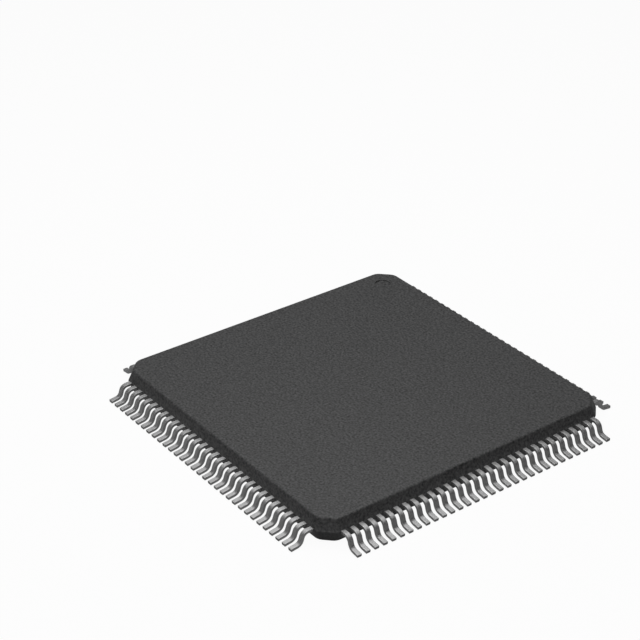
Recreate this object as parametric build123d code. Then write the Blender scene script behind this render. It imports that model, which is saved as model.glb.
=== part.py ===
"""Thin quad flat package with 128 gull-wing leads, an exposed thermal pad and four round feet.

Millimetres. +Z points up, away from the circuit board. The origin is the centre of the package
on the seating plane, where the toes of the leads touch the board. The corner beside pin 1 is at
-X, +Y, and the pins count anticlockwise as seen from above: down the west side, along the
south side, up the east side and back along the north side.
"""
import os
from math import cos, floor, hypot, radians, sin, sqrt, tan

from build123d import *

# Moulded body
body_size = 14.0
body_thickness = 1.0
standoff = 0.09
mould_protrusion = 0.04
parting_height = 0.475
wall_draft = 19.3
corner_chamfer = 0.65
top_corner_chamfer = 0.58
bottom_corner_chamfer = 0.5
corner_rounding = 0.45
edge_rounding = 0.12

# Pin 1 dimple in the top face
dimple_diameter = 0.7
dimple_depth = 0.05
dimple_inset = 1.1

# Leads outside the body
lead_pitch = 0.4
lead_width = 0.2
lead_thickness = 0.12
lead_reach = 1.0
first_lead_inset = 0.8
shoulder_length = 0.395
leg_lean = 18.2
foot_angle = 7.0
knee_inside_radius = 0.19
heel_inside_radius = 0.14

# Leads inside the body
lead_straight_run = 0.4
lead_tip_width = 0.11
lead_tip_gap = 0.5
tip_row_inset = 0.7

# Tape that holds the inner leads level
tape_thickness = 0.05
tape_width = 0.8
tape_setback = 0.6

# Heat spreader with its pad and round feet
pad_size = 4.7
pad_corner_radius = 0.05
disc_diameter = 1.2
disc_inset = 1.95
boss_height = 0.08
spreader_thickness = 0.15
spreader_rim = 0.25
spreader_corner_radius = 0.85
flow_slot_margin = 0.5
flow_slot_web = 0.4

# Die, its paddle and the tie bars
die_size = 5.6
die_thickness = 0.25
die_attach_thickness = 0.02
die_attach_spread = 0.06
paddle_margin = 0.5
tie_bar_width = 0.2
tie_bar_flat = 0.25
tie_bar_ramp = 0.3
tie_bar_cover = 0.3

# Bond wires
wire_width = 0.025
wire_loop_height = 0.12
wire_crest_share = 0.25
bond_pad_inset = 0.08
bond_row_inset = 0.16
wire_landing = 0.12
wire_foot_length = 0.05

nodes_per_side = 4

# Places that follow from the sizes above
body_half = body_size / 2
body_top = standoff + body_thickness
parting_size = body_size + 2 * mould_protrusion
lead_level = standoff + parting_height
lead_underside = lead_level - lead_thickness / 2
lead_topside = lead_level + lead_thickness / 2
pitch_tolerance = 1e-6
leads_per_side = floor((body_size - 2 * first_lead_inset) / lead_pitch + pitch_tolerance) + 1
row_half = lead_pitch * (leads_per_side - 1) / 2

disc_offset = body_half - disc_inset
spreader_half = disc_offset + disc_diameter / 2 + spreader_rim
spreader_underside = standoff + boss_height
spreader_topside = spreader_underside + spreader_thickness

paddle_half = die_size / 2 + paddle_margin
paddle_topside = spreader_topside + lead_thickness
die_underside = paddle_topside + die_attach_thickness
die_topside = die_underside + die_thickness

bend_radius_from_centre = body_half - lead_straight_run
tip_from_centre = paddle_half + lead_tip_gap
tip_row_half = tip_from_centre - tip_row_inset

sides = {"east": 0, "north": 90, "west": 180, "south": 270}


def package_outline(size, corner_cut):
    """The package's square seen from above, with chamfered corners whose ends are rounded."""
    square = Rectangle(size, size)
    chamfered = chamfer(square.vertices(), corner_cut)
    return fillet(chamfered.vertices(), corner_rounding)


def drafted_half(face_level, corner_cut):
    """The body from the parting line to its top or bottom face, with leaning walls."""
    draft = tan(radians(wall_draft)) * abs(face_level - lead_level)
    parting = package_outline(parting_size, corner_chamfer)
    face = package_outline(parting_size - 2 * draft, corner_cut)
    return loft([Pos(0, 0, lead_level) * parting, Pos(0, 0, face_level) * face], ruled=True)


def body_blank():
    """The mould compound before anything is taken out: two drafted halves with soft rims."""
    blank = drafted_half(body_top, top_corner_chamfer) + drafted_half(standoff, bottom_corner_chamfer)
    rims = blank.faces().sort_by(Axis.Z)[0].edges() + blank.faces().sort_by(Axis.Z)[-1].edges()
    return fillet(rims, edge_rounding)


def pin_one_dimple():
    """The shallow round recess that marks the corner of pin 1."""
    offset = body_half - dimple_inset
    dimple = Cylinder(dimple_diameter / 2, dimple_depth, align=(Align.CENTER, Align.CENTER, Align.MAX))
    return Pos(-offset, offset, body_top) * dimple


def shifted_corner(corner, before, after, shift):
    """A bend of the lead's centre line, moved to the lead's upper or lower face."""
    left_before = (-before[1], before[0])
    left_after = (-after[1], after[0])
    spread = 1 + left_before[0] * left_after[0] + left_before[1] * left_after[1]
    return (
        corner[0] + shift * (left_before[0] + left_after[0]) / spread,
        corner[1] + shift * (left_before[1] + left_after[1]) / spread,
    )


def gull_wing():
    """The formed part of one east lead: flat out of the body, down the leg and along the foot."""
    flat = (1, 0)
    leg = (sin(radians(leg_lean)), -cos(radians(leg_lean)))
    foot = (cos(radians(foot_angle)), -sin(radians(foot_angle)))
    foot_up = (-foot[1], foot[0])
    half = lead_thickness / 2

    start = (bend_radius_from_centre, lead_level)
    knee = (body_half + shoulder_length, lead_level)
    toe_edge = body_half + lead_reach - lead_thickness * foot_up[0]
    toe = (toe_edge + half * foot_up[0], half * foot_up[1])
    drop = knee[1] - toe[1] - (toe[0] - knee[0]) * tan(radians(foot_angle))
    leg_length = drop / (-leg[1] - leg[0] * tan(radians(foot_angle)))
    heel = (knee[0] + leg[0] * leg_length, knee[1] + leg[1] * leg_length)

    faces = []
    for shift, knee_radius, heel_radius in (
        (half, knee_inside_radius + lead_thickness, heel_inside_radius),
        (-half, knee_inside_radius, heel_inside_radius + lead_thickness),
    ):
        corners = [
            (start[0], start[1] + shift),
            shifted_corner(knee, flat, leg, shift),
            shifted_corner(heel, leg, foot, shift),
            (toe[0] + shift * foot_up[0], toe[1] + shift * foot_up[1]),
        ]
        faces.append(Plane.XZ * FilletPolyline(*corners, radius=[knee_radius, heel_radius]))
    upper, lower = faces
    outline = [upper, Line(upper @ 1, lower @ 1), lower, Line(lower @ 0, upper @ 0)]
    return extrude(make_face(outline), amount=lead_width / 2, both=True)


def inner_lead(across):
    """The flat part of one east lead inside the body, from its bend in to its tip by the die."""
    tip = across * tip_row_half / row_half
    outline = Polygon(
        (bend_radius_from_centre, across - lead_width / 2),
        (bend_radius_from_centre, across + lead_width / 2),
        (tip_from_centre, tip + lead_tip_width / 2),
        (tip_from_centre, tip - lead_tip_width / 2),
        align=None,
    )
    return extrude(Pos(0, 0, lead_underside) * outline, amount=lead_thickness)


def east_leads():
    """The leads of the east side, in the order of their pins, each one solid."""
    formed = gull_wing()
    places = [lead_pitch * index - row_half for index in range(leads_per_side)]
    return [Pos(0, across, 0) * formed + inner_lead(across) for across in places]


def lead_lock_tape():
    """The square ring of film stuck on top of the inner leads and the tie bars."""
    inner = 2 * (tip_from_centre + tape_setback)
    outer = inner + 2 * tape_width
    ring = Rectangle(outer, outer) - Rectangle(inner, inner)
    return extrude(Pos(0, 0, lead_topside) * ring, amount=tape_thickness)


def heat_spreader():
    """The stamped plate in the underside, with its square pad and four round feet exposed."""
    plate = RectangleRounded(2 * spreader_half, 2 * spreader_half, spreader_corner_radius)
    slot_inner = paddle_half + flow_slot_margin
    slot_outer = spreader_half - flow_slot_margin
    slot_length = 2 * (slot_inner - flow_slot_web)
    slot = Rectangle(slot_outer - slot_inner, slot_length)
    slot_middle = (slot_inner + slot_outer) / 2
    for turn in sides.values():
        plate -= Rot(0, 0, turn) * Pos(slot_middle, 0) * slot
    spreader = extrude(Pos(0, 0, spreader_underside) * plate, amount=spreader_thickness)
    pad = RectangleRounded(pad_size, pad_size, pad_corner_radius)
    discs = GridLocations(2 * disc_offset, 2 * disc_offset, 2, 2)
    bosses = pad + [place * Circle(disc_diameter / 2) for place in discs]
    return spreader + extrude(Pos(0, 0, standoff) * bosses, amount=boss_height)


def tie_bar():
    """One bar from the paddle's corner up to the lead level, along the +X axis before turning."""
    root = paddle_half * sqrt(2) - tie_bar_width
    ramp_start = paddle_half * sqrt(2) + tie_bar_flat
    ramp_end = ramp_start + tie_bar_ramp
    end = (body_size - corner_chamfer) / sqrt(2) - tie_bar_cover
    underside = [
        (root, spreader_topside),
        (ramp_start, spreader_topside),
        (ramp_end, lead_underside),
        (end, lead_underside),
    ]
    topside = [(along, height + lead_thickness) for along, height in reversed(underside)]
    side_view = make_face(Plane.XZ * Polyline(*underside, *topside, close=True))
    return extrude(side_view, amount=tie_bar_width / 2, both=True)


def paddle_with_tie_bars():
    """The plate that carries the die, with the four bars that held it in the lead frame."""
    square = Rectangle(2 * paddle_half, 2 * paddle_half)
    paddle = extrude(Pos(0, 0, spreader_topside) * square, amount=lead_thickness)
    bar = tie_bar()
    return paddle + [Rot(0, 0, turn + 45) * bar for turn in sides.values()]


def die_attach():
    """The layer of adhesive under the die."""
    edge = die_size + 2 * die_attach_spread
    return extrude(Pos(0, 0, paddle_topside) * Rectangle(edge, edge), amount=die_attach_thickness)


def silicon_die():
    """The chip itself."""
    return extrude(Pos(0, 0, die_underside) * Rectangle(die_size, die_size), amount=die_thickness)


def bond_wire(across):
    """One east wire: up from the die, over its edge and down on to the tip of its lead."""
    pad_from_centre = die_size / 2 - bond_pad_inset
    pad_across = across * (die_size / 2 - bond_row_inset) / row_half
    landing_from_centre = tip_from_centre + wire_landing
    lead_slope = (row_half - tip_row_half) / (bend_radius_from_centre - tip_from_centre)
    landing_across = across / row_half * (tip_row_half + lead_slope * wire_landing)
    run = (landing_from_centre - pad_from_centre, landing_across - pad_across)
    length = hypot(*run)
    crest = die_topside + wire_loop_height
    view = Plane(
        origin=(pad_from_centre, pad_across, 0),
        x_dir=(run[0], run[1], 0),
        z_dir=(run[1], -run[0], 0),
    )
    outline = Polyline(
        (-wire_width / 2, die_topside),
        (wire_width / 2, die_topside),
        (wire_width / 2, crest - wire_width),
        (length * wire_crest_share, crest - wire_width),
        (length, lead_topside),
        (length + wire_foot_length, lead_topside),
        (length + wire_foot_length, lead_topside + wire_width / 2),
        (length * wire_crest_share, crest),
        (-wire_width / 2, crest),
        close=True,
    )
    return extrude(make_face(view * outline), amount=wire_width / 2, both=True)


def east_wires():
    """The bond wires of the east side, one for each lead."""
    places = [lead_pitch * index - row_half for index in range(leads_per_side)]
    return [bond_wire(across) for across in places]


def turned(solids, side):
    """East solids turned to another side of the package."""
    return [Rot(0, 0, sides[side]) * solid for solid in solids]


def package_nodes():
    """Every piece of the package by name, with the body moulded round all the others."""
    leads = east_leads()
    wires = east_wires()
    nodes = {
        "heat_spreader": [heat_spreader()],
        "die_paddle": [paddle_with_tie_bars()],
        "die_attach": [die_attach()],
        "silicon_die": [silicon_die()],
        "lead_lock_tape": [lead_lock_tape()],
    }
    for side in sides:
        side_leads = turned(leads, side)
        for share in range(nodes_per_side):
            first = leads_per_side * share // nodes_per_side
            last = leads_per_side * (share + 1) // nodes_per_side
            nodes[f"{side}_leads_{share + 1}"] = side_leads[first:last]
        nodes[f"{side}_bond_wires"] = turned(wires, side)
    held = [solid for solids in nodes.values() for solid in solids]
    nodes["moulded_body"] = [body_blank() - pin_one_dimple() - held]
    return nodes


def main():
    """Write one STEP file for each node."""
    os.makedirs("parts", exist_ok=True)
    for name, solids in package_nodes().items():
        shape = solids[0] if len(solids) == 1 else Compound(children=solids)
        export_step(shape, f"parts/{name}.step")


main()
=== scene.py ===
"""The looks of a thin quad flat package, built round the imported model.

The moulded body, its 128 gull-wing leads and the heat spreader are modelled here as finer meshes.
The pieces inside the body keep their solids and get a finish each. Every mesh is in metres, in the
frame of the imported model: +Z points away from the circuit board, the origin is on the seating
plane, and the dimple beside pin 1 is at the corner of -X and +Y.
"""

import logging
from collections.abc import Mapping, Sequence
from dataclasses import dataclass
from enum import Enum
from math import atan2, cos, pi, radians, sin, tan
from typing import Any, Union

import bmesh
import bpy
from mathutils import Matrix, Vector


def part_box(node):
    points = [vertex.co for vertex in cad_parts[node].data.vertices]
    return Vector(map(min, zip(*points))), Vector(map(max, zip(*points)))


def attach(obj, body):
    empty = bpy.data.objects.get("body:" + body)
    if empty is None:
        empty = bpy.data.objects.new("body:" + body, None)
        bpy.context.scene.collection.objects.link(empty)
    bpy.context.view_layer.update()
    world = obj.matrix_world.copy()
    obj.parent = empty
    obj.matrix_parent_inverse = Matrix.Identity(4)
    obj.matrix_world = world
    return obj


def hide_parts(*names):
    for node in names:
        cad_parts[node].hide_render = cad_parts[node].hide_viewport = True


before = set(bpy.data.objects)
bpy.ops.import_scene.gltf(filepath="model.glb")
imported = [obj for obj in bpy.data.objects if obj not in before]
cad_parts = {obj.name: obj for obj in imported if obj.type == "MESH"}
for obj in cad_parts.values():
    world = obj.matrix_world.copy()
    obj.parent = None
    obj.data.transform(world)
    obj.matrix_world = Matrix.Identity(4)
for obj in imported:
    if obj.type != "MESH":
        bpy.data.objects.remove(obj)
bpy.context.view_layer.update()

MM = 0.001
LEAD_PATH = "lead_path"
# The mark on the lead mesh that paints shear-cut faces darker: partly duller bare metal, partly
# painted shade
SHEARED_AND_SHADED = "sheared_and_shaded"
# The places of the sockets by which a Mix node joins colours
MIX_SHARE, MIX_FIRST, MIX_SECOND, MIX_RESULT = 0, 6, 7, 2
# A circle is a square whose corners are rounded by this share, so that no two points fall together
CIRCLE_ROUNDING = 0.9999
log = logging.getLogger("package")

Colour = tuple[float, float, float]
Point2 = tuple[float, float]
Operand = Union["Signal", float, Colour]


class Side(Enum):
    """A side of the package, with its turn about Z from the east side, in degrees."""

    EAST = 0
    NORTH = 90
    WEST = 180
    SOUTH = 270

    @property
    def label(self) -> str:
        """The side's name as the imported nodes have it."""
        return self.name.lower()

    def turned(self, x: float, y: float) -> Point2:
        """A point of the east side, moved round to this side."""
        return tuple(Matrix.Rotation(radians(self.value), 2) @ Vector((x, y)))


class Signal:
    """The output of a shader node, which Python's operators can work on."""

    def __init__(self, board: "NodeBoard", socket: bpy.types.NodeSocket | None) -> None:
        """Keep the socket and the board that its node stands on."""
        self.board = board
        self.socket = socket

    def __add__(self, other: Operand) -> "Signal":
        """This signal plus a value."""
        return self.board.combine("ADD", self, other)

    def __radd__(self, other: Operand) -> "Signal":
        """A value plus this signal."""
        return self.board.combine("ADD", other, self)

    def __sub__(self, other: Operand) -> "Signal":
        """This signal less a value."""
        return self.board.combine("SUBTRACT", self, other)

    def __rsub__(self, other: Operand) -> "Signal":
        """A value less this signal."""
        return self.board.combine("SUBTRACT", other, self)

    def __mul__(self, other: Operand) -> "Signal":
        """This signal times a value."""
        return self.board.combine("MULTIPLY", self, other)

    def __rmul__(self, other: Operand) -> "Signal":
        """A value times this signal."""
        return self.board.combine("MULTIPLY", other, self)

    def swing(self, size: float) -> "Signal":
        """How far this signal, from 0 to 1, lies from its middle, times a size."""
        return size * (self - 0.5)


class NodeBoard:
    """A node tree, with one method that adds any node and one that joins two values."""

    def __init__(self, tree: bpy.types.NodeTree) -> None:
        """Take over a tree and empty it."""
        tree.nodes.clear()
        self.tree = tree

    def node(
        self,
        kind: str,
        settings: Mapping[str, Any] | None = None,
        values: Mapping[str | int, Operand] | None = None,
        output: str | int = 0,
    ) -> Signal:
        """Add one node to the tree.

        Args:
            kind: the node's type, such as ShaderNodeTexNoise.
            settings: the properties to set first.
            values: a number, colour, vector or signal for each socket, by its name or place.
            output: the name or place of the output to hand back.

        Returns:
            The output as a signal.
        """
        made = self.tree.nodes.new(kind)
        for name, setting in (settings or {}).items():
            setattr(made, name, setting)
        for key, value in (values or {}).items():
            self._feed(made.inputs[key], value)
        return Signal(self, made.outputs[output] if len(made.outputs) else None)

    def combine(self, operation: str, first: Operand, second: Operand) -> Signal:
        """Join two values: colours by Mix, vectors by Vector Math and numbers by Math.

        Args:
            operation: ADD, SUBTRACT or MULTIPLY.
            first: the value on the left.
            second: the value on the right.

        Returns:
            The result as a signal.
        """
        values = (first, second)
        kinds = {value.socket.type for value in values if isinstance(value, Signal)}
        tinted = "VECTOR" not in kinds and any(isinstance(value, tuple) for value in values)
        if tinted or "RGBA" in kinds:
            return self.blend(1.0, first, second, operation)
        kind = "ShaderNodeVectorMath" if "VECTOR" in kinds else "ShaderNodeMath"
        return self.node(kind, {"operation": operation}, {0: first, 1: second})

    def blend(
        self, share: Operand, first: Operand, second: Operand, blend_type: str = "MIX"
    ) -> Signal:
        """Join two colours.

        Args:
            share: how much the second colour counts, from 0 to 1.
            first: the first colour.
            second: the second colour.
            blend_type: the way of joining, such as MIX or MULTIPLY.

        Returns:
            The colour as a signal.
        """
        settings = {"data_type": "RGBA", "blend_type": blend_type}
        values = {MIX_SHARE: share, MIX_FIRST: first, MIX_SECOND: second}
        return self.node("ShaderNodeMix", settings, values, output=MIX_RESULT)

    def place(self) -> Signal:
        """The piece's own coordinates, in millimetres."""
        return self.node("ShaderNodeTexCoord", output="Object") * (1 / MM)

    def shrink(self, place: Signal, size: float | Colour) -> Signal:
        """Count a place in millimetres in a pattern's own size instead."""
        widths = size if isinstance(size, tuple) else (size, size, size)
        return place * tuple(MM / width for width in widths)

    def noise(self, place: Signal, grain: float | Colour, detail: float = 2.0) -> Signal:
        """Soft noise from 0 to 1.

        Args:
            place: where the point lies, in millimetres.
            grain: the width of a blotch, the same all ways or along each axis.
            detail: how much finer noise is laid over it.

        Returns:
            The noise.
        """
        values = {"Vector": self.shrink(place, grain), "Scale": 1.0, "Detail": detail}
        return self.node("ShaderNodeTexNoise", values=values)

    def cells(
        self, place: Signal, size: float, randomness: float = 1.0, square: bool = False
    ) -> Signal:
        """A grey of its own for every cell of a crystalline pattern.

        Args:
            place: where the point lies, in millimetres.
            size: the width of a cell.
            randomness: how far the cells stray from a grid, from 0 to 1.
            square: whether the cells are blocks.

        Returns:
            The grey, from 0 to 1.
        """
        settings = {"distance": "CHEBYCHEV" if square else "EUCLIDEAN"}
        values = {"Vector": self.shrink(place, size), "Scale": 1.0, "Randomness": randomness}
        tint = self.node("ShaderNodeTexVoronoi", settings, values, output="Color")
        return self.node("ShaderNodeRGBToBW", values={0: tint})

    def spread(self, value: Signal, low: float, high: float, full: float = 1.0) -> Signal:
        """Map a value from low..high on to 0..full and hold it there."""
        values = {"Value": value, "From Min": low, "From Max": high, "To Max": full}
        return self.node("ShaderNodeMapRange", values=values)

    def relief(self, height: Signal, depth: float) -> Signal:
        """A normal roughened by a height from 0 to 1 over a depth in metres."""
        values = {"Distance": depth, "Height": height}
        return self.node("ShaderNodeBump", values=values)

    def surface(self, values: Mapping[str, Operand]) -> Signal:
        """The shader of a surface, with a value or signal for each socket that is named."""
        return self.node("ShaderNodeBsdfPrincipled", values=values)

    def _feed(self, socket: bpy.types.NodeSocket, value: Operand) -> None:
        """Link a signal to a socket, or write a number, colour or vector in it.

        Args:
            socket: the socket of the node.
            value: the signal to link, or what is written.
        """
        if isinstance(value, Signal):
            self.tree.links.new(value.socket, socket)
            return
        size = len(socket.default_value) if hasattr(socket.default_value, "__len__") else 0
        if size and isinstance(value, (int, float)):
            value = (value, value, value)
        socket.default_value = (*value, 1.0) if size == 4 else value


class Finish:
    """A material with a node tree of its own. Each kind of finish paints its tree."""

    name: str

    def paint(self, board: NodeBoard) -> Signal:
        """Lay out the finish's nodes and hand back its shader."""
        raise NotImplementedError

    def material(self) -> bpy.types.Material:
        """The finish as a Blender material, which is made when it is first asked for.

        Returns:
            The material.
        """
        made = bpy.data.materials.get(self.name)
        if made is None:
            made = bpy.data.materials.new(self.name)
            made.use_nodes = True
            board = NodeBoard(made.node_tree)
            board.node("ShaderNodeOutputMaterial", values={"Surface": self.paint(board)})
        return made


@dataclass(frozen=True)
class MouldCompound(Finish):
    """Matt dark epoxy, with the fine grain of an eroded mould and specks of filler."""

    name: str = "matt_mould_compound"
    colour: Colour = (0.076, 0.076, 0.0765)
    grain: float = 0.09 * MM
    grain_detail: float = 2.5
    grain_contrast: float = 2.8
    cloud: float = 1.2 * MM
    cloud_detail: float = 3.0
    cloud_contrast: float = 0.12
    relief: float = 0.006 * MM
    roughness: float = 0.48
    roughness_change: float = 0.25
    shine: float = 0.34

    def paint(self, board: NodeBoard) -> Signal:
        """Vary the grey by grain and clouds, and roughen the surface by the grain.

        Args:
            board: the node tree of the material.

        Returns:
            The shader.
        """
        place = board.place()
        grain = board.noise(place, self.grain, self.grain_detail)
        cloud = board.noise(place, self.cloud, self.cloud_detail)
        tone = 1 + grain.swing(self.grain_contrast) + cloud.swing(self.cloud_contrast)
        return board.surface({
            "Base Color": self.colour * tone,
            "Roughness": self.roughness + grain.swing(self.roughness_change),
            "Specular IOR Level": self.shine,
            "Normal": board.relief(grain, self.relief),
        })


@dataclass(frozen=True)
class MattTinPlate(Finish):
    """Satin tin over copper alloy: mottled, faintly streaked along the lead, and darker on shear-cut
    faces, partly as duller bare metal and partly as painted shade.
    """

    name: str = "matt_tin_plate"
    colour: Colour = (0.48, 0.48, 0.48)
    # Darker colour of the shear-cut sides and cut ends: partly duller bare metal, partly painted
    # shade
    sheared_and_shade_colour: Colour = (0.3, 0.3, 0.3)
    sheared_roughness: float = 0.1
    mottle: float = 0.07 * MM
    mottle_contrast: float = 0.4
    streak_length: float = 0.5 * MM
    streak_width: float = 0.028 * MM
    streak_contrast: float = 0.3
    relief: float = 0.003 * MM
    roughness: float = 0.5
    roughness_change: float = 0.25

    def paint(self, board: NodeBoard) -> Signal:
        """Vary the grey by mottle and streaks, and darken the shear-cut sides and cut ends, partly as
        duller bare metal and partly as painted shade.

        Args:
            board: the node tree of the material.

        Returns:
            The shader.
        """
        place = board.place()
        path = board.node("ShaderNodeUVMap", {"uv_map": LEAD_PATH})
        streak = board.noise(path, (self.streak_length, self.streak_width, MM))
        mottle = board.noise(place, self.mottle)
        sheared_and_shaded = board.node("ShaderNodeAttribute", {"attribute_name": SHEARED_AND_SHADED}, output="Fac")
        tone = 1 + mottle.swing(self.mottle_contrast) + streak.swing(self.streak_contrast)
        # Painted shade: the shear-cut mask darkens the sides and the cut ends, and also stands for
        # their duller bare metal
        metal = board.blend(sheared_and_shaded, self.colour, self.sheared_and_shade_colour)
        roughness = self.roughness + mottle.swing(self.roughness_change)
        return board.surface({
            "Base Color": metal * tone,
            "Metallic": 1.0,
            "Roughness": roughness + self.sheared_roughness * sheared_and_shaded,
            "Normal": board.relief(mottle + streak, self.relief),
        })


@dataclass(frozen=True)
class SpreaderPlate(Finish):
    """Pale plated metal with a crystalline sparkle."""

    name: str = "spreader_plate"
    colour: Colour = (0.78, 0.78, 0.78)
    crystal: float = 0.05 * MM
    crystal_contrast: float = 0.35
    crystal_height: float = 0.5
    grain_detail: float = 3.0
    grain_contrast: float = 0.3
    relief: float = 0.004 * MM
    roughness: float = 0.45
    roughness_change: float = 0.2

    def paint(self, board: NodeBoard) -> Signal:
        """Give each crystal its own tone, and raise the grain between them.

        Args:
            board: the node tree of the material.

        Returns:
            The shader.
        """
        place = board.place()
        tone = board.cells(place, self.crystal)
        grain = board.noise(place, self.crystal, self.grain_detail)
        shade = 1 + tone.swing(self.crystal_contrast) + grain.swing(self.grain_contrast)
        return board.surface({
            "Base Color": self.colour * shade,
            "Metallic": 1.0,
            "Roughness": self.roughness + grain.swing(self.roughness_change),
            "Normal": board.relief(grain + self.crystal_height * tone, self.relief),
        })


@dataclass(frozen=True)
class RolledCopper(Finish):
    """Bare copper alloy strip with fine rolling lines and faint tarnish."""

    name: str = "rolled_copper"
    colour: Colour = (0.72, 0.42, 0.30)
    tarnish: Colour = (0.45, 0.23, 0.15)
    line_length: float = 2.0 * MM
    line_width: float = 0.02 * MM
    line_detail: float = 3.0
    stain: float = 0.7 * MM
    stain_detail: float = 4.0
    stain_start: float = 0.45
    stain_end: float = 0.75
    stain_share: float = 0.7
    stain_roughness: float = 0.15
    relief: float = 0.002 * MM
    roughness: float = 0.34
    roughness_change: float = 0.2

    def paint(self, board: NodeBoard) -> Signal:
        """Draw the rolling lines along X, and lay the tarnish in clouds.

        Args:
            board: the node tree of the material.

        Returns:
            The shader.
        """
        place = board.place()
        line = (self.line_length, self.line_width, self.line_width)
        lines = board.noise(place, line, self.line_detail)
        clouds = board.noise(place, self.stain, self.stain_detail)
        stain = board.spread(clouds, self.stain_start, self.stain_end, self.stain_share)
        roughness = self.roughness + lines.swing(self.roughness_change)
        return board.surface({
            "Base Color": board.blend(stain, self.colour, self.tarnish),
            "Metallic": 1.0,
            "Roughness": roughness + self.stain_roughness * stain,
            "Normal": board.relief(lines, self.relief),
        })


@dataclass(frozen=True)
class SilverEpoxy(Finish):
    """Die adhesive: grey resin full of silver flakes."""

    name: str = "silver_epoxy"
    resin: Colour = (0.36, 0.36, 0.35)
    flake: Colour = (0.75, 0.75, 0.74)
    flake_size: float = 0.02 * MM
    flake_start: float = 0.5
    flake_end: float = 0.6
    flake_metal: float = 0.8
    flake_gloss: float = 0.2
    relief: float = 0.003 * MM
    roughness: float = 0.55

    def paint(self, board: NodeBoard) -> Signal:
        """Make flakes of the brightest cells, which lie flat in the surface.

        Args:
            board: the node tree of the material.

        Returns:
            The shader.
        """
        cells = board.cells(board.place(), self.flake_size)
        flat = board.spread(cells, self.flake_start, self.flake_end)
        return board.surface({
            "Base Color": board.blend(flat, self.resin, self.flake),
            "Metallic": self.flake_metal * flat,
            "Roughness": self.roughness - self.flake_gloss * flat,
            "Normal": board.relief(flat, self.relief),
        })


@dataclass(frozen=True)
class PatternedSilicon(Finish):
    """Polished silicon with the faint blocks and tracks of a plain circuit."""

    name: str = "patterned_silicon"
    colour: Colour = (0.16, 0.17, 0.20)
    block_colour: Colour = (0.24, 0.20, 0.26)
    track_colour: Colour = (0.34, 0.33, 0.30)
    block: float = 0.8 * MM
    block_randomness: float = 0.7
    track: float = 0.03 * MM
    track_gap: float = 0.04
    track_share: float = 0.6
    track_roughness: float = 0.12
    relief: float = 0.0005 * MM
    roughness: float = 0.16
    shine: float = 0.9

    def paint(self, board: NodeBoard) -> Signal:
        """Make the blocks of square cells, and the tracks in them of fine bricks.

        Args:
            board: the node tree of the material.

        Returns:
            The shader.
        """
        place = board.place()
        blocks = board.cells(place, self.block, self.block_randomness, square=True)
        bricks = {
            "Vector": board.shrink(place, self.track),
            "Scale": 1.0,
            "Mortar Size": self.track_gap,
        }
        tracks = board.node("ShaderNodeTexBrick", values=bricks, output="Fac")
        ground = board.blend(blocks, self.colour, self.block_colour)
        return board.surface({
            "Base Color": board.blend(self.track_share * tracks, ground, self.track_colour),
            "Roughness": self.roughness + self.track_roughness * tracks,
            "Specular IOR Level": self.shine,
            "Normal": board.relief(tracks, self.relief),
        })


@dataclass(frozen=True)
class PolyimideFilm(Finish):
    """Amber film with faint lines along the reel and a clear gloss."""

    name: str = "amber_film"
    colour: Colour = (0.50, 0.24, 0.05)
    deep_colour: Colour = (0.34, 0.13, 0.02)
    line_length: float = 3.0 * MM
    line_width: float = 0.05 * MM
    line_detail: float = 3.0
    relief: float = 0.001 * MM
    roughness: float = 0.3
    roughness_change: float = 0.15
    coat: float = 0.4

    def paint(self, board: NodeBoard) -> Signal:
        """Deepen the amber in lines along X.

        Args:
            board: the node tree of the material.

        Returns:
            The shader.
        """
        line = (self.line_length, self.line_width, self.line_width)
        lines = board.noise(board.place(), line, self.line_detail)
        return board.surface({
            "Base Color": board.blend(lines, self.colour, self.deep_colour),
            "Roughness": self.roughness + lines.swing(self.roughness_change),
            "Coat Weight": self.coat,
            "Normal": board.relief(lines, self.relief),
        })


@dataclass(frozen=True)
class DrawnGold(Finish):
    """Bright gold with the fine marks of the drawing die."""

    name: str = "drawn_gold"
    colour: Colour = (0.85, 0.62, 0.22)
    shade: Colour = (0.70, 0.46, 0.12)
    mark: float = 0.012 * MM
    relief: float = 0.001 * MM
    roughness: float = 0.22
    roughness_change: float = 0.2

    def paint(self, board: NodeBoard) -> Signal:
        """Vary the tone and the gloss by fine marks.

        Args:
            board: the node tree of the material.

        Returns:
            The shader.
        """
        marks = board.noise(board.place(), self.mark)
        return board.surface({
            "Base Color": board.blend(marks, self.colour, self.shade),
            "Metallic": 1.0,
            "Roughness": self.roughness + marks.swing(self.roughness_change),
            "Normal": board.relief(marks, self.relief),
        })


@dataclass(frozen=True)
class StudioFloor(Finish):
    """A pale floor that looks white, and keeps a soft shadow under the package."""

    name: str = "studio_floor"
    shown_colour: Colour = (0.95, 0.95, 0.95)
    bounce_colour: Colour = (0.12, 0.12, 0.12)
    white_share: float = 0.95
    mirrored_share: float = 0.22
    paper_grain: float = 0.4 * MM
    paper_detail: float = 3.0
    paper_contrast: float = 0.02

    def paint(self, board: NodeBoard) -> Signal:
        """Show part of the floor as plain white, and light the rest by the lamps.

        Args:
            board: the node tree of the material.

        Returns:
            The shader.
        """
        grain = board.noise(board.place(), self.paper_grain, self.paper_detail)
        tone = 1 + grain.swing(self.paper_contrast)
        camera = board.node("ShaderNodeLightPath", output="Is Camera Ray")
        colour = board.blend(camera, self.bounce_colour, self.shown_colour)
        lit = board.surface({"Base Color": colour * tone, "Roughness": 1.0})
        white = board.node("ShaderNodeEmission", values={"Color": (1.0, 1.0, 1.0)})
        share = self.white_share * seen_directly(board, self.mirrored_share)
        return board.node("ShaderNodeMixShader", values={0: share, 1: lit, 2: white})


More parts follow.
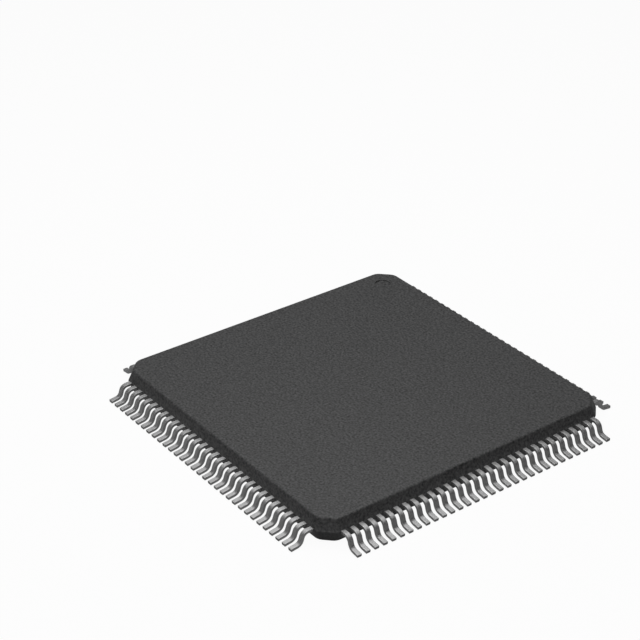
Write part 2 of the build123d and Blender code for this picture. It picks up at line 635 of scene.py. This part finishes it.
def seen_directly(board: NodeBoard, mirrored_share: float) -> Signal:
    """One for what the camera sees, with a share of it for mirrored and passed light.

    Args:
        board: the node tree that asks.
        mirrored_share: how much of the white background shows in metal and glass.

    Returns:
        The share of the background's white that a ray gets.
    """
    camera = board.node("ShaderNodeLightPath", output="Is Camera Ray")
    mirrored = board.node("ShaderNodeLightPath", output="Is Glossy Ray")
    passed = board.node("ShaderNodeLightPath", output="Is Transmission Ray")
    share = camera + mirrored_share * mirrored + mirrored_share * passed
    return board.node("ShaderNodeMath", {"operation": "MINIMUM"}, {0: share, 1: 1.0})


def quarter_turn(steps: int) -> list[Point2]:
    """How much of the radius a quarter circle has still to go one way, and has gone the other."""
    angles = [pi / 2 * step / steps for step in range(steps + 1)]
    return [(1 - sin(angle), 1 - cos(angle)) for angle in angles]


def distances(points: Sequence[Point2]) -> list[float]:
    """How far each point lies along the line through them.

    Args:
        points: the points of the line.

    Returns:
        The distance of each point from the first.
    """
    made = [0.0]
    for here, there in zip(points, points[1:]):
        made.append(made[-1] + Vector((there[0] - here[0], there[1] - here[1])).length)
    return made


def beside(point: Point2, outward: Point2, distance: float) -> Point2:
    """The point at a distance along an outline, anticlockwise."""
    return (point[0] - distance * outward[1], point[1] + distance * outward[0])


def direction(azimuth: float, elevation: float) -> Vector:
    """The direction of an azimuth from -Y towards +X and an elevation, in degrees."""
    turn, tilt = radians(azimuth), radians(elevation)
    return Vector((sin(turn) * cos(tilt), -cos(turn) * cos(tilt), sin(tilt)))


@dataclass(frozen=True)
class Outline:
    """A closed outline seen from above: its points, and the direction outwards at each."""

    points: tuple[Point2, ...]
    outwards: tuple[Point2, ...]

    @classmethod
    def rounded(
        cls, corners: Sequence[Point2], radius: float, arc_steps: int = 8, side_steps: int = 1
    ) -> "Outline":
        """Round every corner of a convex polygon.

        Args:
            corners: the polygon's corners, anticlockwise.
            radius: the radius of each corner.
            arc_steps: how many straight steps an arc has.
            side_steps: how many steps a side has between two arcs.

        Returns:
            The outline.
        """
        count = len(corners)
        turns = []
        for index in range(count):
            here, there = corners[index], corners[(index + 1) % count]
            turns.append(atan2(there[1] - here[1], there[0] - here[0]) - pi / 2)
        points, outwards = [], []
        for index, (x, y) in enumerate(corners):
            start, end = turns[index - 1], turns[index]
            end += 2 * pi if end < start else 0.0
            first, last = (cos(start), sin(start)), (cos(end), sin(end))
            spread = 1 + first[0] * last[0] + first[1] * last[1]
            centre_x = x - radius * (first[0] + last[0]) / spread
            centre_y = y - radius * (first[1] + last[1]) / spread
            if points:
                cls._divide(points, outwards, (centre_x, centre_y), radius, first, side_steps)
            for step in range(arc_steps + 1):
                angle = start + (end - start) * step / arc_steps
                outwards.append((cos(angle), sin(angle)))
                points.append((centre_x + radius * cos(angle), centre_y + radius * sin(angle)))
        closing = (points[0][0] - radius * outwards[0][0], points[0][1] - radius * outwards[0][1])
        cls._divide(points, outwards, closing, radius, outwards[0], side_steps)
        return cls(tuple(points), tuple(outwards))

    @staticmethod
    def _divide(
        points: list[Point2],
        outwards: list[Point2],
        centre: Point2,
        radius: float,
        outward: Point2,
        steps: int,
    ) -> None:
        """Add the points inside the side that ends at an arc.

        Args:
            points: the outline's points so far, up to where the side starts.
            outwards: the direction outwards at each.
            centre: the centre of the arc.
            radius: the radius of the arc.
            outward: the direction outwards along the side.
            steps: how many steps the side has.
        """
        start = points[-1]
        end = (centre[0] + radius * outward[0], centre[1] + radius * outward[1])
        for step in range(1, steps):
            share = step / steps
            points.append(tuple(a + (b - a) * share for a, b in zip(start, end)))
            outwards.append(outward)

    @classmethod
    def rectangle(
        cls,
        half_x: float,
        half_y: float,
        radius: float,
        centre: Point2 = (0, 0),
        arc_steps: int = 8,
    ) -> "Outline":
        """A rectangle with rounded corners.

        Args:
            half_x: half its size along X.
            half_y: half its size along Y.
            radius: the radius of each corner.
            centre: its middle.
            arc_steps: how many straight steps a corner has.

        Returns:
            The outline.
        """
        x, y = centre
        corners = [
            (x + half_x, y - half_y),
            (x + half_x, y + half_y),
            (x - half_x, y + half_y),
            (x - half_x, y - half_y),
        ]
        return cls.rounded(corners, radius, arc_steps)

    @classmethod
    def circle(cls, radius: float, centre: Point2 = (0, 0)) -> "Outline":
        """A circle round a centre."""
        return cls.rectangle(radius, radius, radius * CIRCLE_ROUNDING, centre)

    def ring(self, height: float, inset: float = 0.0) -> list[Vector]:
        """The outline at a height.

        Args:
            height: the height.
            inset: how far it is moved inwards.

        Returns:
            Its points.
        """
        return [
            Vector((x - inset * out_x, y - inset * out_y, height))
            for (x, y), (out_x, out_y) in zip(self.points, self.outwards)
        ]


class Skin:
    """A mesh that is built from rings of points, face by face."""

    def __init__(self) -> None:
        """Start with an empty mesh."""
        self.mesh = bmesh.new()

    def ring(self, points: Sequence[Vector]) -> list[bmesh.types.BMVert]:
        """Add a ring of points."""
        return [self.mesh.verts.new(point) for point in points]

    def bridge(
        self, first: Sequence[bmesh.types.BMVert], second: Sequence[bmesh.types.BMVert]
    ) -> list[bmesh.types.BMFace]:
        """Join two rings of as many points by a band of quads.

        Args:
            first: the ring that the band starts from.
            second: the ring that it ends at.

        Returns:
            The quads.
        """
        count = len(first)
        faces = []
        for index in range(count):
            after = (index + 1) % count
            corners = (first[index], first[after], second[after], second[index])
            faces.append(self.mesh.faces.new(corners))
        return faces

    def stack(self, rings: Sequence[Sequence[Vector]]) -> list[list[bmesh.types.BMVert]]:
        """Add rings and join each to the next.

        Args:
            rings: the points of each ring.

        Returns:
            The rings in the mesh.
        """
        made = [self.ring(points) for points in rings]
        for first, second in zip(made, made[1:]):
            self.bridge(first, second)
        return made

    def cap(self, ring: Sequence[bmesh.types.BMVert]) -> bmesh.types.BMFace:
        """Close a flat ring with one face."""
        return self.mesh.faces.new(ring)

    def fill(self, rings: Sequence[Sequence[bmesh.types.BMVert]]) -> None:
        """Fill a flat area.

        Args:
            rings: the ring round the area, and then the rings round its openings.
        """
        edges = []
        for ring in rings:
            for index, point in enumerate(ring):
                edges.append(self.mesh.edges.get((point, ring[(index + 1) % len(ring)])))
        bmesh.ops.triangle_fill(self.mesh, use_beauty=True, edges=edges)

    def shape(self, name: str, finish: Finish) -> bpy.types.Object:
        """Turn the mesh into an object of the scene.

        Args:
            name: the object's name.
            finish: what it is made of.

        Returns:
            The object.
        """
        data = bpy.data.meshes.new(name)
        self.mesh.to_mesh(data)
        self.mesh.free()
        data.materials.append(finish.material())
        made = bpy.data.objects.new(name, data)
        bpy.context.scene.collection.objects.link(made)
        return made

    def piece(
        self, name: str, finish: Finish, replaces: Sequence[str]
    ) -> bpy.types.Object:
        """Turn the mesh into a piece of the package.

        Args:
            name: the piece's name.
            finish: what it is made of.
            replaces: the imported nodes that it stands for.

        Returns:
            The piece, riding on the package's one body.
        """
        bmesh.ops.recalc_face_normals(self.mesh, faces=self.mesh.faces)
        made = self.shape(name, finish)
        made.data.shade_smooth()
        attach(made, "root")
        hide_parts(*replaces)
        log.info("%s: %d faces, stands for %s", name, len(made.data.polygons), ", ".join(replaces))
        return made


def rim_profile(
    radius: float, lean: float, run: float, edge: float, up: int, steps: int
) -> list[Point2]:
    """The rounded rim between a leaning wall and a level face, as insets and heights.

    Args:
        radius: the rim's radius.
        lean: the wall's lean from upright, in radians.
        run: the inset where wall and face would meet.
        edge: the height of the face.
        up: 1 where the face looks up and -1 where it looks down.
        steps: how many straight steps the rim has.

    Returns:
        The points from the wall to the face.
    """
    along = radius * (1 - sin(lean)) / cos(lean)
    centre_inset = run - along * sin(lean) + radius * cos(lean)
    centre_height = edge - up * radius
    points = []
    for step in range(steps + 1):
        angle = pi - lean + (lean - pi / 2) * step / steps
        inset = centre_inset + radius * cos(angle)
        points.append((inset, centre_height + up * radius * sin(angle)))
    return points


@dataclass
class MouldedBody:
    """The body: two drafted halves that meet in a fine parting line, with soft rims."""

    wall_draft: float = 19.3
    corner_chamfer: float = 0.65 * MM
    top_corner_chamfer: float = 0.58 * MM
    bottom_corner_chamfer: float = 0.5 * MM
    corner_rounding: float = 0.45 * MM
    corner_steps: int = 6
    side_steps: int = 24
    edge_rounding: float = 0.12 * MM
    edge_steps: int = 8
    parting_ridge: float = 0.006 * MM
    parting_band: float = 0.022 * MM
    crest_drop: float = 0.4
    crest_reach: float = 0.6
    dimple_diameter: float = 0.7 * MM
    dimple_depth: float = 0.05 * MM
    dimple_inset: float = 1.14 * MM
    dimple_rim: float = 0.012 * MM
    dimple_steps: int = 4
    pocket_gap: float = 0.004 * MM
    pocket_rim: float = 0.012 * MM
    pocket_steps: int = 3
    pocket_margin: float = 0.005 * MM
    margin: float = 0.02 * MM

    def outline(self, half: float, corner_cut: float) -> Outline:
        """The body's outline at one height.

        Args:
            half: half its size there.
            corner_cut: how much the chamfer takes off each side at a corner.

        Returns:
            The outline.
        """
        short = half - corner_cut
        corners = []
        for side in Side:
            corners += [side.turned(half, -short), side.turned(half, short)]
        return Outline.rounded(corners, self.corner_rounding, self.corner_steps, self.side_steps)

    def profile(self, low: float, parting: float, high: float) -> list[Point2]:
        """The wall from the bottom face to the top face.

        Args:
            low: the height of the underside.
            parting: the height of the parting line.
            high: the height of the top face.

        Returns:
            The insets and heights of its points.
        """
        lean = radians(self.wall_draft)
        band = self.parting_band / 2
        ridge = self.parting_ridge
        rims = []
        for edge, up in ((low, -1), (high, 1)):
            run = abs(edge - parting) * tan(lean)
            rim = rim_profile(self.edge_rounding, lean, run, edge, up, self.edge_steps)
            rim.append((rim[-1][0] + self.margin, edge))
            rims.append(rim)
        lower, upper = rims
        below = (ridge + band * tan(lean), parting - band)
        above = (ridge + band * tan(lean), parting + band)
        drop, reach = ridge * self.crest_drop, band * self.crest_reach
        crest = [(drop, parting - reach), (0.0, parting), (drop, parting + reach)]
        return [*reversed(lower), below, *crest, above, *upper]

    def wall(self, half: float, low: float, parting: float, high: float) -> list[list[Vector]]:
        """The rings of the wall from the underside to the top.

        Args:
            half: half the size of the body at the parting line.
            low: the height of the underside.
            parting: the height of the parting line.
            high: the height of the top face.

        Returns:
            The rings, each with as many points.
        """
        rings = []
        for inset, height in self.profile(low, parting, high):
            drafted = abs(height - parting) * tan(radians(self.wall_draft))
            face, face_cut = high, self.top_corner_chamfer
            if height < parting:
                face, face_cut = low, self.bottom_corner_chamfer
            share = (height - parting) / (face - parting)
            cut = self.corner_chamfer + share * (face_cut - self.corner_chamfer)
            rings.append(self.outline(half - drafted, cut).ring(height, inset - drafted))
        return rings

    def dimple(self, skin: Skin, half: float, top: float) -> list[bmesh.types.BMVert]:
        """Model the dimple.

        Args:
            skin: the mesh of the body.
            half: half the size of the body at the parting line.
            top: the height of the top face.

        Returns:
            The ring round its mouth.
        """
        offset = half - self.dimple_inset
        outline = Outline.circle(self.dimple_diameter / 2, (-offset, offset))
        rim = self.dimple_rim
        rings = [outline.ring(top, -rim - self.margin)]
        for still, gone in quarter_turn(self.dimple_steps):
            rings.append(outline.ring(top - rim * gone, -rim * still))
        floor = top - self.dimple_depth
        for still, gone in quarter_turn(self.dimple_steps):
            rings.append(outline.ring(floor + rim * still, rim * gone))
        rings.append(outline.ring(floor, rim + self.margin))
        made = skin.stack(rings)
        skin.cap(made[-1])
        return made[0]

    def pocket(
        self, skin: Skin, outline: Outline, low: float, depth: float
    ) -> list[bmesh.types.BMVert]:
        """Model the pocket round a foot of the spreader.

        Args:
            skin: the mesh of the body.
            outline: the outline of the foot.
            low: the height of the underside.
            depth: how deep the pocket is.

        Returns:
            The ring round its mouth.
        """
        rim = self.pocket_rim
        rings = [outline.ring(low, -self.pocket_gap - rim - self.pocket_margin)]
        for still, gone in quarter_turn(self.pocket_steps):
            rings.append(outline.ring(low + rim * gone, -self.pocket_gap - rim * still))
        rings.append(outline.ring(low + depth, -self.pocket_gap))
        made = skin.stack(rings)
        skin.cap(made[-1])
        return made[0]

    def build(self, leads: "GullWingLeads", spreader: "HeatSpreader") -> bpy.types.Object:
        """Build the body round the leads and the spreader.

        Args:
            leads: the leads, which lie on the parting line.
            spreader: the heat spreader, whose feet show in the underside.

        Returns:
            The body.
        """
        low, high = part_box("moulded_body")
        skin = Skin()
        made = skin.stack(self.wall(high.x, low.z, leads.level(), high.z))
        feet = [self.pocket(skin, foot, low.z, spreader.boss_height) for foot in spreader.feet()]
        skin.fill([made[0], *feet])
        skin.fill([made[-1], self.dimple(skin, high.x, high.z)])
        return skin.piece("body_shell", MouldCompound(), ["moulded_body"])


@dataclass
class HeatSpreader:
    """The stamped plate in the underside, with a square pad and four round feet."""

    pad_size: float = 4.7 * MM
    pad_corner_radius: float = 0.05 * MM
    disc_diameter: float = 1.2 * MM
    disc_offset: float = 5.05 * MM
    boss_height: float = 0.08 * MM
    pad_rim: float = 0.012 * MM
    disc_rim: float = 0.03 * MM
    rim_steps: int = 4
    plate_rim: float = 0.02 * MM
    corner_radius: float = 0.85 * MM
    paddle_margin: float = 0.5 * MM
    flow_slot_margin: float = 0.5 * MM
    flow_slot_web: float = 0.4 * MM
    slot_corner: float = 0.05 * MM
    margin: float = 0.01 * MM

    def discs(self) -> list[Outline]:
        """The outlines of the four round feet.

        Returns:
            The outlines.
        """
        offsets = (-self.disc_offset, self.disc_offset)
        places = [(x, y) for x in offsets for y in offsets]
        return [Outline.circle(self.disc_diameter / 2, place) for place in places]

    def pad(self) -> Outline:
        """The outline of the square pad."""
        return Outline.rectangle(self.pad_size / 2, self.pad_size / 2, self.pad_corner_radius)

    def feet(self) -> list[Outline]:
        """The outlines of all that shows in the underside."""
        return [self.pad(), *self.discs()]

    def foot(self, skin: Skin, outline: Outline, low: float, rim: float) -> None:
        """Model one foot, from its soft edge to the plate.

        Args:
            skin: the mesh of the spreader.
            outline: the outline of the foot.
            low: the height of its face.
            rim: the radius of its edge.
        """
        rings = [outline.ring(low, rim + self.margin)]
        for still, gone in quarter_turn(self.rim_steps):
            rings.append(outline.ring(low + rim * gone, rim * still))
        rings.append(outline.ring(low + self.boss_height + self.margin))
        made = skin.stack(rings)
        skin.cap(made[0])
        skin.cap(made[-1])

    def slots(self, plate_half: float) -> list[Outline]:
        """The openings that the mould compound flows through.

        Args:
            plate_half: half the size of the plate.

        Returns:
            Their outlines.
        """
        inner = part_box("silicon_die")[1].x + self.paddle_margin + self.flow_slot_margin
        outer = plate_half - self.flow_slot_margin
        half_wide = (outer - inner) / 2
        half_long = inner - self.flow_slot_web
        outlines = []
        for side in Side:
            halves = (half_wide, half_long)
            if side in (Side.NORTH, Side.SOUTH):
                halves = (half_long, half_wide)
            centre = side.turned((inner + outer) / 2, 0)
            outlines.append(Outline.rectangle(*halves, self.slot_corner, centre))
        return outlines

    def plate(self, skin: Skin, low: float, high: float, half: float) -> None:
        """Model the plate with its flow slots.

        Args:
            skin: the mesh of the spreader.
            low: the height of the plate's underside.
            high: the height of its upper face.
            half: half its size.
        """
        rim = self.plate_rim
        openings = [Outline.rectangle(half, half, self.corner_radius), *self.slots(half)]
        bottoms, tops = [], []
        for index, outline in enumerate(openings):
            inwards = 1 if index == 0 else -1
            rings = [outline.ring(low, inwards * rim), outline.ring(low + rim)]
            rings += [outline.ring(high - rim), outline.ring(high, inwards * rim)]
            made = skin.stack(rings)
            bottoms.append(made[0])
            tops.append(made[-1])
        skin.fill(bottoms)
        skin.fill(tops)

    def build(self) -> bpy.types.Object:
        """Build the spreader: the plate, the pad and the feet.

        Returns:
            The spreader.
        """
        low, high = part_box("heat_spreader")
        skin = Skin()
        self.plate(skin, low.z + self.boss_height, high.z, high.x)
        self.foot(skin, self.pad(), low.z, self.pad_rim)
        for disc in self.discs():
            self.foot(skin, disc, low.z, self.disc_rim)
        return skin.piece("spreader_plate", SpreaderPlate(), ["heat_spreader"])


@dataclass(frozen=True)
class Station:
    """A place on a lead's centre line, with its heading and the size of the strip there."""

    along: float
    height: float
    heading: float
    width: float
    across_share: float = 1.0
    shrink: float = 0.0


@dataclass
class GullWingLeads:
    """The leads of all four sides: flat in the body, then bent down and out to the feet."""

    pitch: float = 0.4 * MM
    leads_per_side: int = 32
    leads_per_piece: int = 8
    width: float = 0.2 * MM
    thickness: float = 0.12 * MM
    edge_radius: float = 0.02 * MM
    edge_steps: int = 3
    end_radius: float = 0.012 * MM
    end_steps: int = 3
    # Share of the darker shear-cut colour on the lead's sides: partly duller bare metal, partly
    # painted shade
    sheared_and_shaded_side: float = 0.1
    knee_from_centre: float = 7.395 * MM
    root_from_centre: float = 6.6 * MM
    leg_lean: float = 18.2
    foot_angle: float = 7.0
    knee_radius: float = 0.25 * MM
    heel_radius: float = 0.26 * MM
    bend_steps: int = 9
    tip_width: float = 0.11 * MM
    tip_row_inset: float = 0.7 * MM
    inner_steps: int = 2
    streak_shift: float = 1.7
    streak_shift_per_degree: int = 7
    margin: float = 0.005 * MM

    def level(self) -> float:
        """The height of the leads' centre line inside the body."""
        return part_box("east_leads_1")[1].z - self.thickness / 2

    def row(self) -> list[float]:
        """The places of the leads across one side."""
        half = self.pitch * (self.leads_per_side - 1) / 2
        return [self.pitch * index - half for index in range(self.leads_per_side)]

    def bends(self) -> list[Point2]:
        """The corners of the centre line outside the body.

        Returns:
            The knee, the heel and the toe, each along and up.
        """
        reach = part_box("east_leads_1")[1].x
        foot = radians(self.foot_angle)
        lean = radians(self.leg_lean)
        half = self.thickness / 2
        toe = (reach - half * sin(foot), half * cos(foot))
        knee = (self.knee_from_centre, self.level())
        drop = knee[1] - toe[1] - (toe[0] - knee[0]) * tan(foot)
        leg = drop / (cos(lean) - sin(lean) * tan(foot))
        heel = (knee[0] + leg * sin(lean), knee[1] - leg * cos(lean))
        return [knee, heel, toe]

    def stations(self) -> list[Station]:
        """The whole lead, from the tip beside the die to the toe.

        Returns:
            The places along it.
        """
        knee, heel, toe = self.bends()
        down = -pi / 2 + radians(self.leg_lean)
        out = -radians(self.foot_angle)
        return [
            *self.inside(),
            *self.bend(knee, 0.0, down, self.knee_radius),
            *self.bend(heel, down, out, self.heel_radius),
            *self.end(toe, out),
        ]

    def inside(self) -> list[Station]:
        """The stretch inside the body, which narrows towards the die.

        Returns:
            The places along it.
        """
        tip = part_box("east_leads_1")[0].x
        tip_share = (tip - self.tip_row_inset) / self.row()[-1]
        made = []
        for step in range(self.inner_steps + 1):
            share = step / self.inner_steps
            along = tip + (self.root_from_centre - tip) * share
            width = self.tip_width + (self.width - self.tip_width) * share
            across_share = tip_share + (1 - tip_share) * share
            made.append(Station(along, self.level(), 0.0, width, across_share=across_share))
        return made

    def bend(self, corner: Point2, before: float, after: float, radius: float) -> list[Station]:
        """One bend of the centre line.

        Args:
            corner: where the straight stretches would meet, along and up.
            before: the heading before the bend, in radians.
            after: the heading after it.
            radius: the radius of the centre line.

        Returns:
            The places round it.
        """
        turn = abs(after - before)
        side = 1 if after > before else -1
        back = radius * tan(turn / 2)
        start_x = corner[0] - back * cos(before)
        start_z = corner[1] - back * sin(before)
        centre_x = start_x - side * radius * sin(before)
        centre_z = start_z + side * radius * cos(before)
        made = []
        for step in range(self.bend_steps + 1):
            heading = before + (after - before) * step / self.bend_steps
            place_x = centre_x + side * radius * sin(heading)
            place_z = centre_z - side * radius * cos(heading)
            made.append(Station(place_x, place_z, heading, self.width))
        return made

    def end(self, toe: Point2, out: float) -> list[Station]:
        """The cut end of the foot, with its soft edge.

        Args:
            toe: the middle of the cut face, along and up.
            out: the heading of the foot, in radians.

        Returns:
            The places along it, of which the first keeps the foot flat up to the edge.
        """
        radius = self.end_radius
        steps = [(radius + self.margin, 0.0)]
        steps += [(radius * still, radius * gone) for still, gone in quarter_turn(self.end_steps)]
        steps.append((0.0, radius + self.margin))
        made = []
        for back, shrink in steps:
            place = (toe[0] - back * cos(out), toe[1] - back * sin(out))
            made.append(Station(*place, out, self.width, shrink=shrink))
        return made

    def section(self, width: float, shrink: float) -> Outline:
        """The strip's section, across and up, with a point beside each rounded corner.

        Args:
            width: the strip's width.
            shrink: how far the section is shrunk on every side.

        Returns:
            The outline of the section.
        """
        half_wide = width / 2 - shrink
        half_high = self.thickness / 2 - shrink
        radius = self.edge_radius - shrink
        outline = Outline.rectangle(half_wide, half_high, radius, arc_steps=self.edge_steps)
        points, outwards = [], []
        size = self.edge_steps + 1
        for start in range(0, len(outline.points), size):
            arc = outline.points[start:start + size]
            faces = outline.outwards[start:start + size]
            lead_in = beside(arc[0], faces[0], -self.margin)
            lead_out = beside(arc[-1], faces[-1], self.margin)
            points += [lead_in, *arc, lead_out]
            outwards += [faces[0], *faces, faces[-1]]
        return Outline(tuple(points), tuple(outwards))

    def around(self) -> list[float]:
        """The distance round the section at each of its points, and back to the first."""
        points = self.section(self.width, 0.0).points
        return distances([*points, points[0]])

    def ring(
        self, skin: Skin, station: Station, section: Outline, across: float, turn: Matrix
    ) -> list[bmesh.types.BMVert]:
        """Model the ring of points round a lead at one place.

        Args:
            skin: the mesh that it goes in.
            station: the place along the lead.
            section: the section there.
            across: the lead's place along the side.
            turn: the turn from the east side to its own.

        Returns:
            The points, marked by how much they take the darker shear-cut colour, which is partly
            duller bare metal and partly painted shade.
        """
        points = []
        for wide, high in section.points:
            along = station.along - sin(station.heading) * high
            height = station.height + cos(station.heading) * high
            points.append(turn @ Vector((along, across * station.across_share + wide, height)))
        made = skin.ring(points)
        sheared_and_shaded = skin.mesh.verts.layers.float[SHEARED_AND_SHADED]
        # The cut end takes the whole darker colour and the sides a share of it: partly duller bare
        # metal, partly painted shade
        cut_end = station.shrink > self.end_radius / 2
        for point, (out_wide, _) in zip(made, section.outwards):
            point[sheared_and_shaded] = 1.0 if cut_end else self.sheared_and_shaded_side * out_wide ** 2
        return made

    def lead(
        self,
        skin: Skin,
        strip: Sequence[tuple[Station, Outline]],
        across: float,
        index: int,
        turn: Matrix,
    ) -> None:
        """Model one lead.

        Args:
            skin: the mesh that it goes in.
            strip: the stations along it, with the section at each.
            across: its place along the side.
            index: its number, which shifts the streaks of its plating.
            turn: the turn from the east side to its own.
        """
        rings = [self.ring(skin, station, section, across, turn) for station, section in strip]
        lengths = distances([(station.along, station.height) for station, _ in strip])
        around = self.around()
        shift = index * self.streak_shift * around[-1]
        path = skin.mesh.loops.layers.uv[LEAD_PATH]
        for number, (first, second) in enumerate(zip(rings, rings[1:])):
            near, far = lengths[number], lengths[number + 1]
            for place, face in enumerate(skin.bridge(first, second)):
                sides = (around[place], around[place + 1], around[place + 1], around[place])
                for loop, side, reach in zip(face.loops, sides, (near, near, far, far)):
                    loop[path].uv = (reach / MM, (side + shift) / MM)
        for ring in (rings[0], rings[-1]):
            for loop, side in zip(skin.cap(ring).loops, around):
                loop[path].uv = (lengths[-1] / MM, (side + shift) / MM)

    def build(self) -> list[bpy.types.Object]:
        """Build the leads of every side, eight to a piece.

        Returns:
            The pieces.
        """
        made = []
        places = self.row()
        strip = [(place, self.section(place.width, place.shrink)) for place in self.stations()]
        for side in Side:
            turn = Matrix.Rotation(radians(side.value), 3, "Z")
            side_shift = self.streak_shift_per_degree * side.value
            for share in range(self.leads_per_side // self.leads_per_piece):
                skin = Skin()
                skin.mesh.loops.layers.uv.new(LEAD_PATH)
                skin.mesh.verts.layers.float.new(SHEARED_AND_SHADED)
                first = share * self.leads_per_piece
                for index in range(first, first + self.leads_per_piece):
                    self.lead(skin, strip, places[index], index + side_shift, turn)
                node = f"{side.label}_leads_{share + 1}"
                made.append(skin.piece(f"formed_{node}", MattTinPlate(), [node]))
        return made


@dataclass
class Insides:
    """The pieces that the mould compound hides, which keep their solids."""

    paddle: Finish = RolledCopper()
    adhesive: Finish = SilverEpoxy()
    die: Finish = PatternedSilicon()
    tape: Finish = PolyimideFilm()
    wires: Finish = DrawnGold()

    def dress(self) -> None:
        """Give each hidden piece its finish."""
        finishes = {
            "die_paddle": self.paddle,
            "die_attach": self.adhesive,
            "silicon_die": self.die,
            "lead_lock_tape": self.tape,
        }
        for side in Side:
            finishes[f"{side.label}_bond_wires"] = self.wires
        for node, finish in finishes.items():
            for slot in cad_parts[node].material_slots:
                slot.material = finish.material()
            log.info("%s: keeps its solid, finished in %s", node, finish.name)


@dataclass(frozen=True)
class SoftBox:
    """A square lamp that looks at the package."""

    name: str
    azimuth: float
    elevation: float
    distance: float
    size: float
    brightness: float

    def build(self) -> None:
        """Hang the lamp. Its power gives its face the brightness, where 1 is white."""
        back = direction(self.azimuth, self.elevation)
        data = bpy.data.lights.new(self.name, "AREA")
        data.size = self.size
        data.energy = self.brightness * pi * self.size ** 2
        lamp = bpy.data.objects.new(self.name, data)
        lamp.location = back * self.distance
        lamp.rotation_euler = back.to_track_quat("Z", "Y").to_euler()
        lamp.visible_camera = False
        bpy.context.scene.collection.objects.link(lamp)
        log.info("%s: %.0f mm square", self.name, self.size / MM)


@dataclass
class Studio:
    """A pale floor, a dim even sky and large soft lamps."""

    floor_radius: float = 600 * MM
    floor_drop: float = 0.001 * MM
    sky: float = 0.02
    mirrored_share: float = 0.045
    overhead: SoftBox = SoftBox(
        "overhead_lamp",
        azimuth=0.0, elevation=86.0, distance=45 * MM, size=64 * MM, brightness=1.42,
    )
    left: SoftBox = SoftBox(
        "left_lamp",
        azimuth=-44.0, elevation=7.0, distance=100 * MM, size=24 * MM, brightness=0.9,
    )
    back: SoftBox = SoftBox(
        "back_lamp",
        azimuth=-112.0, elevation=58.0, distance=90 * MM, size=60 * MM, brightness=0.82,
    )
    front: SoftBox = SoftBox(
        "front_lamp",
        azimuth=40.0, elevation=14.0, distance=100 * MM, size=50 * MM, brightness=0.5,
    )

    def floor(self) -> None:
        """Lay the floor, a flat disc just under the toes."""
        skin = Skin()
        outline = Outline.circle(self.floor_radius)
        skin.cap(skin.ring(outline.ring(-self.floor_drop)))
        skin.shape("floor", StudioFloor())
        log.info("floor: %.0f mm in radius", self.floor_radius / MM)

    def world(self) -> None:
        """Light the package evenly and dimly from all round, before a white background."""
        world = bpy.data.worlds.new("sky")
        world.use_nodes = True
        board = NodeBoard(world.node_tree)
        dim = board.node("ShaderNodeBackground", values={"Color": self.sky})
        white = board.node("ShaderNodeBackground", values={"Color": 1.0})
        share = seen_directly(board, self.mirrored_share)
        mixed = board.node("ShaderNodeMixShader", values={0: share, 1: dim, 2: white})
        board.node("ShaderNodeOutputWorld", values={"Surface": mixed})
        bpy.context.scene.world = world

    def build(self) -> None:
        """Build the floor, the sky and the lamps."""
        self.floor()
        self.world()
        for lamp in (self.overhead, self.left, self.back, self.front):
            lamp.build()


@dataclass
class PhotoCamera:
    """The camera that was fitted to the outline of the body and the leads in the photograph."""

    azimuth: float = 53.1816
    elevation: float = 29.9224
    roll: float = -0.0204
    distance: float = 78.4178 * MM
    target: tuple[float, float, float] = (-5.524 * MM, 2.1461 * MM, 0.7 * MM)
    lens: float = 102.167
    nearest: float = 1 * MM
    furthest: float = 5.0

    def build(self) -> None:
        """Set up the camera and make it the scene's."""
        turn, roll = radians(self.azimuth), radians(self.roll)
        back = direction(self.azimuth, self.elevation)
        level = Vector((cos(turn), sin(turn), 0.0))
        above = back.cross(level)
        right = level * cos(roll) + above * sin(roll)
        data = bpy.data.cameras.new("photo_camera")
        data.lens = self.lens
        data.clip_start = self.nearest
        data.clip_end = self.furthest
        camera = bpy.data.objects.new("photo_camera", data)
        axes = Matrix((right, back.cross(right), back)).transposed()
        place = Matrix.Translation(Vector(self.target) + back * self.distance)
        camera.matrix_world = place @ axes.to_4x4()
        bpy.context.scene.collection.objects.link(camera)
        bpy.context.scene.camera = camera
        log.info("photo_camera: %.0f mm lens", self.lens)


def main() -> None:
    """Build the package piece by piece, then the studio and the camera."""
    logging.basicConfig(level=logging.INFO, format="%(message)s")
    bpy.context.scene.view_settings.view_transform = "Standard"
    PhotoCamera().build()
    leads = GullWingLeads()
    spreader = HeatSpreader()
    body = MouldedBody().build(leads, spreader)
    spreader.build()
    formed = leads.build()
    Insides().dress()
    Studio().build()
    log.info("%s, its spreader and %d pieces of leads are built", body.name, len(formed))


if __name__ == "__main__":
    main()
